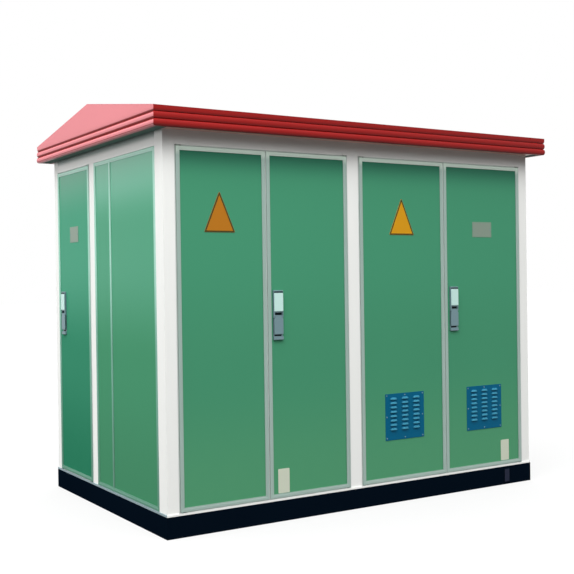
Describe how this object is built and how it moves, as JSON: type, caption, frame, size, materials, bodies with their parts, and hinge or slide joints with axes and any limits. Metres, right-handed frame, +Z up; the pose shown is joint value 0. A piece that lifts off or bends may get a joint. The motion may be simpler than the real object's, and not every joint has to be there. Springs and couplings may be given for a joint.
{
  "type": "compact substation",
  "caption": "Steel compact substation housing on a channel plinth, with hinged panel doors, louvred vents, folding lever locks and a ribbed gable roof.",
  "frame": {"origin": "centre of the underside of the plinth", "axes": "+Z up, front faces -Y, +X to the right seen from the front"},
  "size_m": [3.079, 2.024, 2.624],
  "materials": {
    "door_paint": "semi-gloss powder coat",
    "frame_paint": "semi-gloss powder coat",
    "roof_paint": "gloss paint",
    "vent_paint": "semi-gloss paint",
    "trim": "satin anodised",
    "lock_casting": "satin zinc casting",
    "plinth_paint": "satin paint",
    "floor_paint": "matt paint"
  },
  "bodies": {
    "housing": {"plinth_front_rail": "plinth_paint", "plinth_right_rail": "plinth_paint", "plinth_back_rail": "plinth_paint", "plinth_left_rail": "plinth_paint", "floor_plate": "floor_paint", "front_sill": "frame_paint", "right_sill": "frame_paint", "back_sill": "frame_paint", "left_sill": "frame_paint", "corner_post_front_left": "frame_paint", "corner_post_front_right": "frame_paint", "corner_post_back_left": "frame_paint", "corner_post_back_right": "frame_paint", "front_mid_post": "frame_paint", "back_mid_post": "frame_paint", "left_mid_post": "frame_paint", "right_mid_post": "frame_paint", "front_head_beam": "frame_paint", "back_head_beam": "frame_paint", "left_head_beam": "frame_paint", "right_head_beam": "frame_paint", "ceiling_plate": "frame_paint", "roof_fascia": "roof_paint", "roof_slope_front": "roof_paint", "roof_slope_back": "roof_paint", "gable_left": "roof_paint", "gable_right": "roof_paint", "left_bay_frame": "trim", "left_bay_panel": "door_paint", "right_bay_frame": "trim", "right_bay_panel": "door_paint", "right_door_frame": "trim", "right_door_panel": "door_paint", "back_narrow_frame": "trim", "back_narrow_panel": "door_paint", "back_wide_frame": "trim", "back_wide_panel": "door_paint", "back_wide_vent_1": "vent_paint", "back_wide_vent_2": "vent_paint"},
    "door_1": {"door_1_frame": "trim", "door_1_panel": "door_paint"},
    "door_2": {"door_2_frame": "trim", "door_2_panel": "door_paint", "door_2_lock_case": "lock_casting"},
    "door_3": {"door_3_frame": "trim", "door_3_panel": "door_paint", "door_3_vent": "vent_paint"},
    "door_4": {"door_4_frame": "trim", "door_4_panel": "door_paint", "door_4_lock_case": "lock_casting", "door_4_vent": "vent_paint"},
    "end_door": {"end_door_frame": "trim", "end_door_panel": "door_paint", "end_door_lock_case": "lock_casting"},
    "door_2_lever": {"door_2_lever": "lock_casting"},
    "door_4_lever": {"door_4_lever": "lock_casting"},
    "end_door_lever": {"end_door_lever": "lock_casting"}
  },
  "joints": [
    {"name": "door_1_swing", "type": "hinge", "parent": "housing", "child": "door_1", "pos_m": [-1.3455, -0.912, 1.2], "axis": [0, 0, -1], "range_deg": [0, 110]},
    {"name": "door_2_swing", "type": "hinge", "parent": "housing", "child": "door_2", "pos_m": [-0.171, -0.912, 1.2], "axis": [0, 0, 1], "range_deg": [0, 90]},
    {"name": "door_3_swing", "type": "hinge", "parent": "housing", "child": "door_3", "pos_m": [-0.0415, -0.912, 1.2], "axis": [0, 0, -1], "range_deg": [0, 90]},
    {"name": "door_4_swing", "type": "hinge", "parent": "housing", "child": "door_4", "pos_m": [1.3455, -0.912, 1.2], "axis": [0, 0, 1], "range_deg": [0, 110]},
    {"name": "end_door_swing", "type": "hinge", "parent": "housing", "child": "end_door", "pos_m": [-1.4395, 0.249, 1.2], "axis": [0, 0, 1], "range_deg": [0, 110]},
    {"name": "door_2_lever_lift", "type": "hinge", "parent": "door_2", "child": "door_2_lever", "pos_m": [-0.68375, -0.9247, 1.258], "axis": [-1, 0, 0], "range_deg": [0, 30]},
    {"name": "door_4_lever_lift", "type": "hinge", "parent": "door_4", "child": "door_4_lever", "pos_m": [0.7355, -0.9247, 1.258], "axis": [-1, 0, 0], "range_deg": [0, 30]},
    {"name": "end_door_lever_lift", "type": "hinge", "parent": "end_door", "child": "end_door_lever", "pos_m": [-1.4522, 0.74, 1.258], "axis": [0, 1, 0], "range_deg": [0, 30]}
  ]
}
